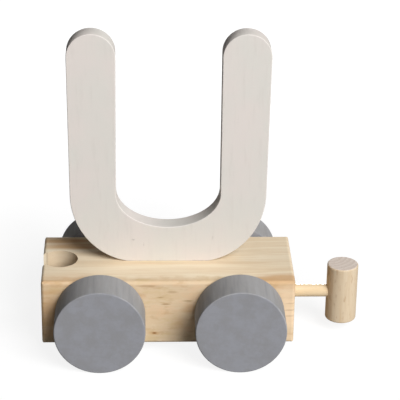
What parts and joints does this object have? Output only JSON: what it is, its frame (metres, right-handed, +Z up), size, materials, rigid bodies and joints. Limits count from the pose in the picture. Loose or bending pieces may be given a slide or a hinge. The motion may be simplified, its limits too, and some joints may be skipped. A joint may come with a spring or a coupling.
{
  "type": "letter train car",
  "caption": "Wooden toy train car: a pine block on grey painted wheels carries an upright off-white letter U, with a coupling peg at one end and a slotted socket at the other.",
  "frame": {"origin": "on the floor under the middle of the car's overall length and width", "axes": "+X along the track from the socket end to the peg end, +Y across the track towards the back of the letter, +Z up"},
  "size_m": [0.1016, 0.0574, 0.1027],
  "materials": {
    "pine": "sanded bare pine",
    "letter_paint": "matt off-white paint on wood",
    "wheel_paint": "satin slate grey paint on wood",
    "beech": "sanded bare beech",
    "light_dowel": "smooth bare light wood"
  },
  "bodies": {
    "chassis": {"chassis_block": "pine", "letter": "letter_paint", "letter_dowel_front": "beech", "letter_dowel_rear": "beech", "coupling_rod": "light_dowel", "coupling_peg": "beech"},
    "front_wheelset": {"axle_front": "beech", "wheel_front_left": "wheel_paint", "wheel_front_right": "wheel_paint"},
    "rear_wheelset": {"axle_rear": "beech", "wheel_rear_left": "wheel_paint", "wheel_rear_right": "wheel_paint"}
  },
  "joints": [
    {"name": "front_axle_roll", "type": "hinge", "parent": "chassis", "child": "front_wheelset", "pos_m": [-0.0323, 0, 0.01425], "axis": [0, 1, 0], "continuous": true},
    {"name": "rear_axle_roll", "type": "hinge", "parent": "chassis", "child": "rear_wheelset", "pos_m": [0.0117, 0, 0.01425], "axis": [0, 1, 0], "continuous": true}
  ]
}
